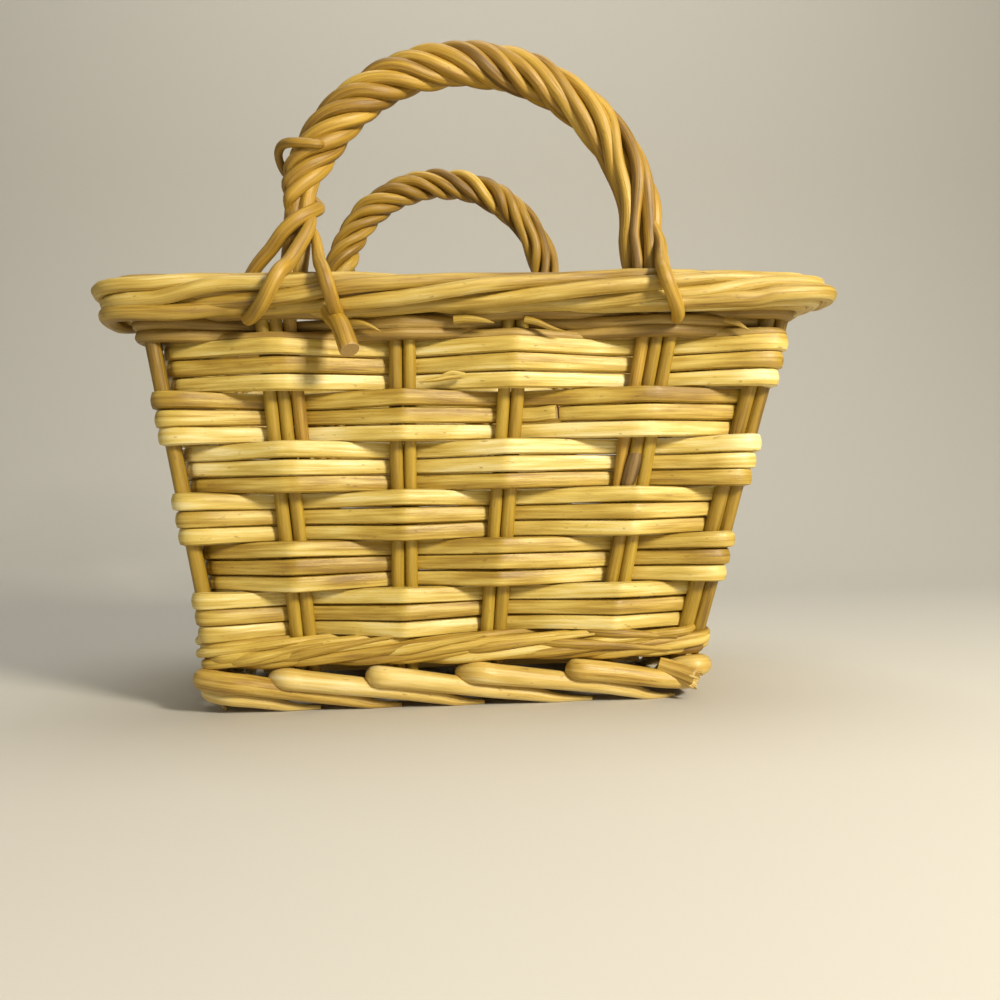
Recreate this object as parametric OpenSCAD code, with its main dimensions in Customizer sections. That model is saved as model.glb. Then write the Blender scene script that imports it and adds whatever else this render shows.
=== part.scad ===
// A willow basket: a flared rectangular body woven in three-rod bands on paired stakes,
// with a rolled border, a foot of slanting rods and two roped handles.
// Millimetres, +Z up, the front wall toward -Y, the foot standing on z = 0.

/* [Body] */
// Width between the stake lines at the floor
base_w = 196; // [180:1:214]
// Depth between the stake lines at the floor
base_d = 101; // [92:1:115]
// Outward lean of the walls in degrees
flare = 10.6; // [7.5:0.1:13]
// How far the rim stands to the right of the foot
rim_shift = 9; // [0:0.5:12]
// Corner radius along the stake line
corner_r = 12; // [11:0.5:16]

/* [Stakes] */
// Thickness of one stake rod
stake_d = 5.4; // [4.6:0.1:6]

/* [Siding] */
// Height of one siding rod
rod_h = 6.74; // [6:0.02:7.6]
// Thickness of a siding rod through the wall
rod_t = 6; // [5:0.1:6.8]

/* [Wales] */
// Thickness of the twisted wale above the foot
wale_d = 5.6; // [5.4:0.1:6.4]
// Thickness of one rod of the wale under the border
top_wale_rod = 3.9; // [3:0.1:4.6]

/* [Border] */
// Width of the rolled border through the wall
border_w = 28; // [24:0.5:32]
// Height of the rolled border
border_h = 16.6; // [14:0.2:19]
// How far the border's middle stands outside the stake line
border_out = 5.4; // [4:0.2:7]

/* [Foot] */
// Thickness of a foot rod at its high end
foot_rod_d = 9.4; // [8.6:0.1:9.8]
// Drop of a foot rod along its length
foot_drop = 10.4; // [9:0.1:12]

/* [Base] */
// Spacing of the rods of the base mat
mat_rod = 5; // [4.4:0.1:5.2]
// Thickness of one base stick
stick_d = 6.5; // [5:0.1:8]

/* [Handles] */
// Thickness of a handle bow
bow_d = 9; // [7.5:0.1:10.5]
// Thickness of the roped front handle
front_rope_d = 18; // [16.5:0.1:20]
// Thickness of the roped rear handle
rear_rope_d = 16.6; // [15.5:0.1:19]
// Radius of the front handle's arch along its middle
front_arch_r = 70.5; // [62:0.5:75]
// Radius of the rear handle's arch along its middle
rear_arch_r = 59; // [54:0.5:66]
// Height of the front handle above the border
front_rise = 95.5; // [92:0.5:110]
// Height of the rear handle above the border
rear_rise = 99.5; // [92:0.5:110]
// How far the rear arch stands off the middle
rear_shift = -8; // [-10:0.5:6]
// How far the handle legs reach down into the siding
leg_reach = 61; // [50:0.5:75]
// Thickness of the tie ends
tie_d = 6; // [5:0.1:7]

/* [Hidden] */
clearance = 0.2;
bands = 6;
rods_per_band = 3;
base_sticks_count = 5;
lean = tan(flare);
stake_r = stake_d / 2;
pair_half = stake_d + clearance / 2;
leg_step = pair_half + clearance + stake_r;
corner_inset = corner_r * (1 - sqrt(0.5)) + 0.5;
// Levels, from the floor up
foot_h = foot_rod_d + foot_drop;
wale_low_z = foot_h + 0.3 + wale_d / 2;
wale_high_z = wale_low_z + wale_d + clearance;
siding_z0 = wale_high_z + wale_d / 2 + clearance;
band_h = rods_per_band * rod_h;
band_pitch = band_h + clearance;
siding_top = siding_z0 + bands * band_pitch;
top_wale_z = siding_top + top_wale_rod;
stake_top = siding_top + 2 * top_wale_rod;
border_z = stake_top + 2 * clearance + border_h / 2;
border_top = border_z + border_h / 2;
leg_z0 = siding_top - leg_reach;
// Offsets through the wall, measured from the stake line
wale_out = stake_r + clearance + wale_d / 2;
tie_gap = tie_d / 2 + 1;
// Depth of the grooves between the border's strands, as a share of its half width and half height
strand_groove = 0.2;
// Where the border's first strand lies at the front left corner, in degrees up from the outer face
strand_start = 31;

// Places of the stake pairs round the wall, in order from the front left corner
places = [
    "front_left", "front_1", "front_2", "front_3", "front_4",
    "front_right", "right_1", "right_2",
    "rear_right", "rear_1", "rear_2", "rear_3", "rear_4",
    "rear_left", "left_1", "left_2"
];
count = len(places);
// Hand-set shares of the half width at which the front pairs stand
front_shares = [-0.63, -0.215, 0.147, 0.633];
rear_shares = [0.52, 0.15, -0.225, -0.6];
side_shares = [-1 / 3, 1 / 3];

// Outline of the wall at a height
function half_w(z) = base_w / 2 + lean * z;
function half_d(z) = base_d / 2 + lean * z;
function middle_x(z) = rim_shift * (z / border_z - 1);

// A stake place is its share of the half width and half depth, and the wall's outward direction
function corner(sx, sy) = [sx, sy, [sx, sy] * sqrt(0.5), corner_inset];
function wall(u, v, n) = [u, v, n, 0];
stakes_at = [
    corner(-1, -1),
    for (s = front_shares) wall(s, -1, [0, -1]),
    corner(1, -1),
    for (s = side_shares) wall(1, s, [1, 0]),
    corner(1, 1),
    for (s = rear_shares) wall(s, 1, [0, 1]),
    corner(-1, 1),
    for (s = side_shares) wall(-1, -s, [-1, 0])
];

// Point at a stake place, moved along the wall and out through it
function at(i, z, along, out) =
    let (s = stakes_at[i], n = s[2])
    [
        middle_x(z) + s[0] * (half_w(z) - s[3]) - n.y * along + n.x * out,
        s[1] * (half_d(z) - s[3]) + n.x * along + n.y * out,
        z
    ];

// Handles: left foot, right foot, arch radius, rise, rope thickness, arch offset
front = [1, 4, front_arch_r, front_rise, front_rope_d, 0];
rear = [12, 9, rear_arch_r, rear_rise, rear_rope_d, rear_shift];
function leg_side(i) = (i == 1 || i == 9) ? 1 : (i == 4 || i == 12) ? -1 : 0;
function leg_point(i, z) = at(i, z, leg_side(i) * leg_step, 0);
function arch_middle(h) =
    [h[5], leg_point(h[0], border_z).y, border_top + h[3] - h[4] / 2 - h[2]];

// Solid helpers
module rod(p, q, r, r_end = 0) {
    d = q - p;
    translate(p)
        rotate([0, acos(d.z / norm(d)), atan2(d.y, d.x)])
            cylinder(h = norm(d), r1 = r, r2 = r_end > 0 ? r_end : r, $fn = 32);
}

module nosed_rod(p, q, r, r_end) {
    d = q - p;
    length = norm(d);
    nose = r * 0.5;
    tip = r_end * 0.5;
    translate(p)
        rotate([0, acos(d.z / length), atan2(d.y, d.x)])
            rotate_extrude($fn = 32)
                polygon([
                    [0, 0], [r * 0.5, 0], [r * 0.85, nose * 0.4], [r, nose],
                    [r_end, length - tip], [r_end * 0.5, length], [0, length]
                ]);
}

module chain(points, r) {
    for (k = [0 : len(points) - 2])
        rod(points[k], points[k + 1], r);
    for (k = [1 : len(points) - 2])
        translate(points[k])
            sphere(r = r * 1.02, $fn = 32);
}

// A closed ring of sections; a section turned to the left takes the other diagonal to stay full
module closed_sweep(rings, shift = 0, left = false) {
    n = len(rings);
    m = len(rings[0]);
    polyhedron(
        points = [for (ring = rings) each ring],
        faces = [
            for (i = [0 : n - 1])
                for (j = [0 : m - 1])
                    let (
                        next = (i + 1) % n,
                        s = i == n - 1 ? shift : 0,
                        a = i * m + j,
                        b = i * m + (j + 1) % m,
                        c = next * m + (j + 1 + s) % m,
                        d = next * m + (j + s) % m
                    )
                    each left ? [[a, b, d], [b, c, d]] : [[a, b, c], [a, c, d]]
        ],
        convexity = 10
    );
}

module open_sweep(rings) {
    n = len(rings);
    m = len(rings[0]);
    polyhedron(
        points = [for (ring = rings) each ring],
        faces = concat(
            [
                for (i = [0 : n - 2])
                    for (j = [0 : m - 1])
                        let (a = i * m + j, b = i * m + (j + 1) % m)
                        each [[a, b, b + m], [a, b + m, a + m]]
            ],
            [[for (j = [m - 1 : -1 : 0]) j]],
            [[for (j = [0 : m - 1]) (n - 1) * m + j]]
        ),
        convexity = 10
    );
}

// A section of round strands lying side by side round a middle, a ridge and a groove to each strand
function lobed(lobes, half_n, half_z, depth, turn) = [
    for (j = [0 : 2 * lobes - 1])
        let (a = turn + 180 * j / lobes, f = j % 2 == 0 ? 1 : 1 - depth)
        [half_n * f * cos(a), half_z * f * sin(a)]
];

// The same with a rounded back to each strand, all of one width round the oval
function full_lobed(lobes, half_n, half_z, depth, turn) = [
    for (j = [0 : 3 * lobes - 1])
        let (
            t = turn + 360 / lobes * (floor(j / 3) + [-0.22, 0.22, 0.5][j % 3]),
            a = t + 31 * (half_n - half_z) / (half_n + half_z) * sin(2 * t),
            f = j % 3 == 2 ? 1 - depth : 1
        )
        [half_n * f * cos(a), half_z * f * sin(a)]
];

// Line of a ring round the wall: points with the outward direction in degrees
function ring_line(z, out, long, short, bend) =
    let (
        r = corner_r + out,
        x = half_w(z) + out - r,
        y = half_d(z) + out - r,
        m = middle_x(z)
    )
    concat(
        [for (i = [0 : long - 1]) [m - x + 2 * x * i / long, -y - r, -90]],
        [for (i = [0 : bend - 1]) let (a = -90 + 90 * i / bend) [m + x + r * cos(a), -y + r * sin(a), a]],
        [for (i = [0 : short - 1]) [m + x + r, -y + 2 * y * i / short, 0]],
        [for (i = [0 : bend - 1]) let (a = 90 * i / bend) [m + x + r * cos(a), y + r * sin(a), a]],
        [for (i = [0 : long - 1]) [m + x - 2 * x * i / long, y + r, 90]],
        [for (i = [0 : bend - 1]) let (a = 90 + 90 * i / bend) [m - x + r * cos(a), y + r * sin(a), a]],
        [for (i = [0 : short - 1]) [m - x - r, y - 2 * y * i / short, 180]],
        [for (i = [0 : bend - 1]) let (a = 180 + 90 * i / bend) [m - x + r * cos(a), -y + r * sin(a), a]]
    );

// A ring of strands twisted together, closed after a whole number of strand steps
module roped_ring(z, out, half_n, half_z, lobes, depth, steps, long, short, bend, full = false) {
    line = ring_line(z, out, long, short, bend);
    n = len(line);
    points = full ? 3 : 2;
    rings = [
        for (i = [0 : n - 1])
            let (p = line[i], turn = steps * 360 / lobes * i / n)
            [
                for (s = full ? full_lobed(lobes, half_n, half_z, depth, turn + strand_start)
                    : lobed(lobes, half_n, half_z, depth, turn))
                    [p.x + cos(p[2]) * s.x, p.y + sin(p[2]) * s.x, z + s.y]
            ]
    ];
    closed_sweep(rings, points * ((steps + 100 * lobes) % lobes), steps > 0);
}

// Section of flat-laid rods stacked in a band; a full one has rounded rods on its outer side
function band_section(rods, h, t, full) = concat(
    full
        ? [for (k = [0 : 3 * rods])
            [k % 3 == 0 ? t * 0.2 : t / 2, (floor(k / 3) + [0, 0.27, 0.73][k % 3] - rods / 2) * h]]
        : [for (k = [0 : 2 * rods]) [k % 2 == 0 ? t * 0.25 : t / 2, (k / 2 - rods / 2) * h]],
    [for (k = [2 * rods : -1 : 0]) [k % 2 == 0 ? -t * 0.25 : -t / 2, (k / 2 - rods / 2) * h]]
);

// A band woven over one stake pair and under the next
module woven_band(z, row, rods, h, t, full = false) {
    section = band_section(rods, h, t, full);
    amplitude = stake_r + clearance + t / 2;
    low = z - rods * h / 2;
    rings = [
        for (i = [0 : count - 1])
            for (side = [-1, 1])
                let (
                    leg = leg_side(i) == side && low + rods * h > leg_z0 ? stake_d + clearance : 0,
                    along = side * (pair_half + leg),
                    out = (i + row) % 2 == 0 ? amplitude : -amplitude
                )
                [for (s = section) at(i, z + s.y, along, out + s.x)]
    ];
    closed_sweep(rings);
}

// Base
module base_mat() {
    z = foot_h + 0.3;
    inset = stake_r + clearance;
    x = half_w(z) - inset;
    y = half_d(z) - inset;
    cut = 2 * (corner_inset + inset * sqrt(0.5) - inset) + 0.4;
    rods = floor((2 * x - 0.6) / mat_rod);
    color("#c9a05c")
        intersection() {
            translate([middle_x(z), y, z + mat_rod / 2])
                rotate([90, 0, 0])
                    linear_extrude(height = 2 * y)
                        for (k = [0 : rods - 1])
                            translate([(k - (rods - 1) / 2) * mat_rod, 0])
                                circle(d = mat_rod * 1.08, $fn = 32);
            translate([middle_x(z), 0, z - mat_rod])
                linear_extrude(height = 3 * mat_rod)
                    polygon([
                        [-x, -y + cut], [-x + cut, -y], [x - cut, -y], [x, -y + cut],
                        [x, y - cut], [x - cut, y], [-x + cut, y], [-x, y - cut]
                    ]);
        }
}

module base_sticks() {
    z = foot_h + 0.3 - mat_rod * 0.04 - clearance - stick_d / 2;
    x = half_w(0) - foot_rod_d - 4;
    y = half_d(0) - foot_rod_d - stick_d - 2;
    color("#b98d4c")
        for (k = [0 : base_sticks_count - 1])
            let (p = y * (2 * k / (base_sticks_count - 1) - 1))
            nosed_rod([middle_x(0) - x, p, z], [middle_x(0) + x, p, z], stick_d / 2, stick_d / 2);
}

// Foot: each rod starts high at its stake pair and runs down under the next one
module foot_rod(i) {
    r = foot_rod_d / 2;
    r_end = r * 0.64;
    next = (i + 1) % count;
    start = at(i, foot_h - r, -2, stake_r + clearance + r + (stakes_at[i][3] > 0 ? 0.8 : 1.2));
    aim = at(next, r_end, -2, 2.2 + 1.6 * stakes_at[next][3]);
    share = stakes_at[next][3] > 0 ? 1.02 : 1.4;
    end = start + (aim - start) * share;
    color("#c69a54")
        difference() {
            nosed_rod(start, [end.x, end.y, r_end - 1], r, r_end);
            translate([end.x - 100, end.y - 100, -10])
                cube([200, 200, 10]);
        }
}

// Wales
module bottom_wale_lower() {
    color("#cda565")
        roped_ring(wale_low_z, wale_out, wale_d / 2, wale_d / 2, 3, 0.3, 12, 9, 4, 4);
}

module bottom_wale_upper() {
    color("#cda565")
        roped_ring(wale_high_z, wale_out, wale_d / 2, wale_d / 2, 3, 0.3, -12, 9, 4, 4);
}

module bottom_wale_inner() {
    color("#cda565")
        roped_ring(wale_high_z, -wale_out, wale_d / 2, wale_d / 2, 3, 0.3, 8, 8, 4, 2);
}

module top_wale() {
    color("#c39a58")
        woven_band(top_wale_z, 0, 2, top_wale_rod - clearance, rod_t * 0.8);
}

// Stakes and siding
module stakes(i) {
    color("#d2ab66")
        for (side = [-1, 1])
            let (
                along = side * (stake_r + clearance / 2),
                low = foot_h - (stakes_at[i][3] > 0 ? 0.3 : foot_rod_d / 2)
            )
            rod(at(i, low, along, 0), at(i, stake_top, along, 0), stake_r);
}

module siding_band(b) {
    color("#d9b26c")
        woven_band(siding_z0 + (b - 0.5) * band_pitch, bands + 1 - b, rods_per_band, rod_h, rod_t, true);
}

// Border, with the holes the handle bows go through
module border() {
    color("#dcb771")
        difference() {
            roped_ring(border_z, border_out, border_w / 2, border_h / 2, 7, strand_groove, count, 10, 6, 4, true);
            bow_feet(front, clearance);
            bow_feet(rear, clearance);
        }
}

// Handles
module bow_feet(h, grow) {
    for (side = [0, 1]) {
        i = h[side];
        spring = spring_point(h, side);
        low = leg_point(i, border_z - border_h / 2);
        mid = leg_point(i, border_z);
        rod(low, mid, stake_r + grow, bow_d / 2 + grow);
        rod(leg_point(i, leg_z0), low, stake_r + grow);
        rod(mid, spring, bow_d / 2 + grow);
        translate(low) sphere(r = (stake_r + grow) * 1.02, $fn = 32);
        translate(mid) sphere(r = (bow_d / 2 + grow) * 1.01, $fn = 32);
        translate(spring) sphere(r = (bow_d / 2 + grow) * 1.01, $fn = 32);
    }
}

module bow(h, grow = 0) {
    bow_feet(h, grow);
    translate(arch_middle(h))
        rotate([90, 0, 0])
            rotate_extrude(angle = 180, $fn = 96)
                translate([h[2], 0])
                    circle(r = bow_d / 2 + grow, $fn = 32);
}

// Middle of a roped handle on one side, at a height above the border
function spring_point(h, side) =
    arch_middle(h) + [side == 0 ? -h[2] : h[2], 0, 0];
function rope_middle(h, side, up) =
    let (
        m = arch_middle(h),
        foot = leg_point(h[side], border_z),
        z = border_top + up,
        rise = max(0, z - m.z),
        x = (side == 0 ? -1 : 1) * sqrt(h[2] * h[2] - rise * rise)
    )
    rise > 0
        ? [m.x + x, m.y, z]
        : foot + (spring_point(h, side) - foot) * (z - foot.z) / (m.z - foot.z);
function leg_line(h, side, share) =
    rope_middle(h, side, clearance + (arch_middle(h).z - border_top - clearance) * share);
function rope_line(h, arch_steps, leg_steps) =
    let (m = arch_middle(h))
    concat(
        [for (k = [0 : leg_steps - 1]) leg_line(h, 0, k / leg_steps)],
        [for (k = [0 : arch_steps]) let (a = 180 - 180 * k / arch_steps) m + h[2] * [cos(a), 0, sin(a)]],
        [for (k = [leg_steps - 1 : -1 : 0]) leg_line(h, 1, k / leg_steps)]
    );

module wrap(h, turns, slowing) {
    line = rope_line(h, 26, 3);
    n = len(line);
    rings = [
        for (i = [0 : n - 1])
            let (
                p = line[i],
                d = i == 0 ? [0, 0, 1] : i == n - 1 ? [0, 0, -1] : line[i + 1] - line[i - 1],
                t = d / norm(d),
                u = i / (n - 1),
                turn = turns * 360 * u * (1 - slowing * u / 2)
            )
            [
                for (s = lobed(5, h[4] / 2, h[4] / 2, 0.17, turn))
                    [p.x - t.z * s.x, p.y + s.y, p.z + t.x * s.x]
            ]
    ];
    difference() {
        open_sweep(rings);
        bow(h, clearance);
    }
}

module front_bow() {
    color("#c79c57") bow(front);
}

module rear_bow() {
    color("#c79c57") bow(rear);
}

module front_wrap() {
    color("#dcb670") wrap(front, -2.9, 0.8);
}

module rear_wrap() {
    color("#dcb670") wrap(rear, -2.3, 0);
}

// Tie ends of the wrap rods, led over the border and tucked in
function foot_place(i, along, out, z) =
    let (p = leg_point(i, border_z), n = stakes_at[i][2])
    [p.x - n.y * along + n.x * out, p.y + n.x * along + n.y * out, z];
function over_border(i, along, angle) =
    foot_place(
        i, along,
        border_out + (border_w / 2 + tie_gap) * cos(angle),
        border_z + (border_h / 2 + tie_gap) * sin(angle)
    );
// Point beside a roped leg: angle from straight out, gap from the rope, height in rope thicknesses
function beside_rope(h, side, angle, gap, up) =
    let (
        p = rope_middle(h, side, up * h[4]),
        n = stakes_at[h[side]][2],
        r = h[4] / 2 + tie_d / 2 + gap,
        along = r * sin(angle),
        out = r * cos(angle)
    )
    [p.x - n.y * along + n.x * out, p.y + n.x * along + n.y * out, p.z];

module tie_front_left_over() {
    i = front[0];
    color("#d8b06a")
        chain([
            beside_rope(front, 0, 28, 0.5, 1.1),
            beside_rope(front, 0, 6, 0.9, 0.58),
            over_border(i, -0.5 * tie_d, 62),
            over_border(i, -1.5 * tie_d, 30),
            over_border(i, -2.3 * tie_d, 0),
            over_border(i, -3 * tie_d, -28),
            over_border(i, -3.5 * tie_d, -55)
        ], tie_d / 2);
}

module tie_front_left_end() {
    i = front[0];
    color("#d8b06a")
        chain([
            beside_rope(front, 0, 56, 0.5, 0.85),
            over_border(i, 1.8 * tie_d, 64),
            over_border(i, 2 * tie_d, 32),
            over_border(i, 2.2 * tie_d, 0),
            over_border(i, 2.45 * tie_d, -30),
            foot_place(i, 2.9 * tie_d, border_out + border_w / 2 - 2, border_z - border_h / 2 - tie_d * 1.3)
        ], tie_d / 2);
}

module tie_front_left_back() {
    i = front[0];
    color("#d8b06a")
        chain([
            beside_rope(front, 0, -28, 0.7, 1.5),
            beside_rope(front, 0, -62, 0.7, 1),
            foot_place(i, -2.6 * tie_d, 0, border_top + tie_d * 1.3),
            foot_place(i, -3.3 * tie_d, -0.2 * tie_d, border_top + tie_d / 2 + 0.4)
        ], tie_d / 2);
}

// A tie led down the outer side of its handle foot
module plain_tie(h, side, way) {
    i = h[side];
    color("#d8b06a")
        chain([
            beside_rope(h, side, way * 32, 0.5, 0.8),
            over_border(i, way * 1.4 * tie_d, 60),
            over_border(i, way * 1.9 * tie_d, 30),
            over_border(i, way * 2.4 * tie_d, 0),
            over_border(i, way * 2.7 * tie_d, -28),
            over_border(i, way * 2.85 * tie_d, -55)
        ], tie_d / 2);
}

module tie_front_right() {
    plain_tie(front, 1, 1);
}

module tie_rear_left() {
    plain_tie(rear, 0, 1);
}

module tie_rear_right() {
    plain_tie(rear, 1, -1);
}

base_mat();
base_sticks();
bottom_wale_lower();
bottom_wale_upper();
bottom_wale_inner();
top_wale();
border();
front_bow();
rear_bow();
front_wrap();
rear_wrap();
tie_front_left_over();
tie_front_left_end();
tie_front_left_back();
tie_front_right();
tie_rear_left();
tie_rear_right();
for (b = [1 : bands])
    siding_band(b);
for (i = [0 : count - 1])
    stakes(i);
for (i = [0 : count - 1])
    foot_rod(i);
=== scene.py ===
import math
import random

import bpy
from bpy.props import FloatProperty, FloatVectorProperty, PointerProperty
from mathutils import Matrix, Vector


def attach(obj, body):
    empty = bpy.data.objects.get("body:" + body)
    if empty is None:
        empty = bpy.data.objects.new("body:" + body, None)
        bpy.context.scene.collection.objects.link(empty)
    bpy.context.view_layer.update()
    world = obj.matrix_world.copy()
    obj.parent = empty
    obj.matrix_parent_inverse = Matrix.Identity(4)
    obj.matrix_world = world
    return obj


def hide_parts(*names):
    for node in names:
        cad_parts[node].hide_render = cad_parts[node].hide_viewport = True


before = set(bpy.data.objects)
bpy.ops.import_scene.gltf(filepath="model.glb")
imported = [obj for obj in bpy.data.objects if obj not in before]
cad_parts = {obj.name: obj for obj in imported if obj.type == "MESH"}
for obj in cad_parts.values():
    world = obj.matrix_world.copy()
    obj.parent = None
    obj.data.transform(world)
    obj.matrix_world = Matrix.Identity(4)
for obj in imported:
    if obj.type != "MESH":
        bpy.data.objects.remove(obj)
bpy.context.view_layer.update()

bl_info = {
    "name": "Willow basket",
    "version": (1, 0, 0),
    "blender": (4, 5, 0),
    "location": "3D View > Sidebar > Basket",
    "description": "Rods, border and roped handles of a woven willow basket",
    "category": "Object",
}

# Stake pairs round the wall, in order from the front left corner
PLACES = (
    "front_left", "front_1", "front_2", "front_3", "front_4",
    "front_right", "right_1", "right_2",
    "rear_right", "rear_1", "rear_2", "rear_3", "rear_4",
    "rear_left", "left_1", "left_2",
)
COUNT = len(PLACES)
# Each wall: its first stake, its direction, its outward direction and the shares of its inner stakes
WALLS = (
    (0, (1, 0), (0, -1), (-0.63, -0.215, 0.147, 0.633)),
    (5, (0, 1), (1, 0), (-1 / 3, 1 / 3)),
    (8, (-1, 0), (0, 1), (-0.52, -0.15, 0.225, 0.6)),
    (13, (0, -1), (-1, 0), (-1 / 3, 1 / 3)),
)
# Stakes that carry a handle leg, and the side of the pair that it stands on
LEG_SIDE = {1: 1, 4: -1, 9: 1, 12: -1}
# Degrees by which a corner pair is turned from the corner's own slant, and millimetres it is moved by
CORNER_TURN = {0: -33, 5: -32, 8: -10, 13: 10}
CORNER_MOVE = {0: (-2.5, -1.0), 5: (1.4, -0.5), 8: (0.8, 0.8), 13: (-0.8, 0.8)}
# Share of a row's swing that is left on the end wall where its rods are kinked round a corner
CORNER_KEEP = {0: 0.3, 5: 0.62, 8: 0.6, 13: 0.6}
# How each kind of rod rounds a corner: 1 follows the arc, less is kinked into a blockier corner
FOOT_KINK = 0.8
SIDING_KINK = 0.62
WALE_KINK = 0.85
BORDER_KINK = 0.6
STRAND_KINK = 0.62
# Rows of siding, and the share of a rod's crease over a pair that is rounded off
ROWS = 6
CREASE_ROUND = 0.06
# Millimetres from a cut face to the full rod, and the face's share of the rod's thickness
CUT_EDGE = 0.5
CUT_FACE = 0.93
# Radius of a full rope rod in millimetres, and how deep in the rope and how thin its tip starts
ROPE_ROD = 2.9
TIP_DEPTH = 3.0
TIP_SHARE = 0.35
# Colours of the small flecks and of a cut face on every willow
FLECK_BROWN = "#7a5a1e"
CUT_BROWN = "#a98a52"


def linear(hex_colour):
    """An sRGB hex colour as linear values with full alpha."""
    values = [int(hex_colour[i:i + 2], 16) / 255 for i in (1, 3, 5)]
    return [v / 12.92 if v <= 0.04045 else ((v + 0.055) / 1.055) ** 2.4 for v in values] + [1.0]


def ease(t):
    """A smooth step from 0 to 1."""
    t = min(1.0, max(0.0, t))
    return t * t * (3 - 2 * t)


def mix(a, b, t):
    return a + (b - a) * t


def along_table(table, s):
    """Value at s in a table of (place, value) steps, eased between them."""
    for (s0, v0), (s1, v1) in zip(table, table[1:]):
        if s <= s1:
            return mix(v0, v1, ease((s - s0) / (s1 - s0)))
    return table[-1][1]


def wander(rng, size, span):
    """A slow smooth drift along a rod, of a size and a wave length in mm."""
    waves = []
    for _ in range(3):
        waves.append((rng.uniform(0.6, 1.5) / span, rng.uniform(0, math.tau), rng.uniform(0.5, 1)))
    return lambda s: size * sum(a * math.sin(math.tau * s * f + p) for f, p, a in waves) / 2


def curve_through(points, step):
    """A smooth curve through points of (x, y, z, radius), as closely spaced points."""
    knots = [Vector(p) for p in points]
    knots = [2 * knots[0] - knots[1]] + knots + [2 * knots[-1] - knots[-2]]
    path = []
    for a, b, c, d in zip(knots, knots[1:], knots[2:], knots[3:]):
        count = max(2, math.ceil((c - b).length / step))
        for i in range(count):
            t = i / count
            path.append(0.5 * (2 * b + (c - a) * t + (2 * a - 5 * b + 4 * c - d) * t ** 2
                               + (3 * b - a - 3 * c + d) * t ** 3))
    path.append(knots[-2])
    return path


class Wall:
    """The flared wall in millimetres: its outline at each height and the stake places round it."""

    def __init__(self, sizes):
        self.sizes = sizes
        self.lean = math.tan(sizes.flare)
        self.corner = sizes.corner_radius * 1000
        self.stake_r = sizes.stake_diameter * 500
        # Height of the foot, start and row height of the siding
        self.foot_h = 19.8
        self.siding_z0 = 31.7
        self.band_pitch = 20.42
        self.siding_top = self.siding_z0 + ROWS * self.band_pitch
        # Height of the border's middle line, its distance out from the stakes and the border's half sizes
        self.border_z = 170.72
        self.border_out = 5.4
        self.border_half_w = sizes.border_width * 500
        self.border_half_h = sizes.border_height * 500
        self.border_top = self.border_z + self.border_half_h
        # Where the handle legs end below, and their step along the wall from the stake pair
        self.leg_z0 = self.siding_top - 61
        self.leg_step = 8.4

    def half_w(self, z):
        return self.sizes.base_width * 500 + self.lean * z

    def half_d(self, z):
        return self.sizes.base_depth * 500 + self.lean * z

    def middle_x(self, z):
        return self.sizes.rim_shift * 1000 * (z / self.border_z - 1)

    def side(self, k):
        """Number of the wall that a running stake number falls on."""
        return max(n for n, wall in enumerate(WALLS) if wall[0] <= k % COUNT)

    def knots(self, side, z):
        """Half length and reach of a wall, and where its stakes stand along it."""
        shares = WALLS[side][3]
        long_side = side % 2 == 0
        half = self.half_w(z) if long_side else self.half_d(z)
        reach = self.half_d(z) if long_side else self.half_w(z)
        straight = half - self.corner
        end = straight + self.corner * math.pi / 4
        return straight, reach - self.corner, [-end] + [s * half for s in shares] + [end]

    def at(self, k, z, out=0.0, end_out=None, kink=1.0):
        """Point at a running stake number, out through the wall, with the outward direction there.

        The end walls may stand out by another measure; a kink below 1 draws the corner more sharply.
        """
        k %= COUNT
        side = self.side(k)
        first, along, normal = WALLS[side][:3]
        straight, reach, stops = self.knots(side, z)
        i = int(k - first)
        c = mix(stops[i], stops[i + 1], k - first - i)
        sign = 1 if c > 0 else -1
        turn = max(0.0, abs(c) - straight) / self.corner
        here, there = out, out if end_out is None else end_out
        if side % 2:
            here, there = there, here
        run = abs(c)
        if turn > 0:
            run = straight + (self.corner + there) * math.sin(turn) ** kink
        away = reach + (self.corner + here) * math.cos(turn) ** kink
        along = Vector(along)
        normal = Vector(normal)
        p = along * (sign * run) + normal * away
        n = normal * math.cos(turn) + along * sign * math.sin(turn)
        return Vector((p.x + self.middle_x(z), p.y, z)), Vector((n.x, n.y, 0))

    def place(self, i, z, shift=0.0, out=0.0):
        """Point at a stake pair, shifted along the wall and out through it."""
        p, n = self.at(i, z, out)
        return p + Vector((-n.y, n.x, 0)) * shift

    def gap(self, i, z):
        """Length of wall from one stake pair to the next."""
        side = self.side(i)
        stops = self.knots(side, z)[2]
        j = i % COUNT - WALLS[side][0]
        return stops[j + 1] - stops[j]

    def leg(self, i, z, shift=0.0, out=0.0):
        """Point at a handle leg."""
        return self.place(i, z, LEG_SIDE[i] * self.leg_step + shift, out)

    def weave(self, k, row, z):
        """How far a rod stands out at a running stake number: 1 in front of a pair, -1 behind it."""
        i = math.floor(k)
        sign = 1 if (i + row) % 2 == 0 else -1
        length = self.gap(i, z)
        # Beside a handle leg the rod crosses the wall clear of the leg
        past_leg = self.leg_step * 0.6 if z > self.leg_z0 - 8 else 0
        lead = past_leg if LEG_SIDE.get(i % COUNT) == 1 else 0
        tail = past_leg if LEG_SIDE.get((i + 1) % COUNT) == -1 else 0
        u = min(1.0, max(0.0, ((k - i) * length - lead) / (length - lead - tail)))
        return sign * (CREASE_ROUND * math.cos(math.pi * u) + (1 - CREASE_ROUND) * (1 - 2 * u))


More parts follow.
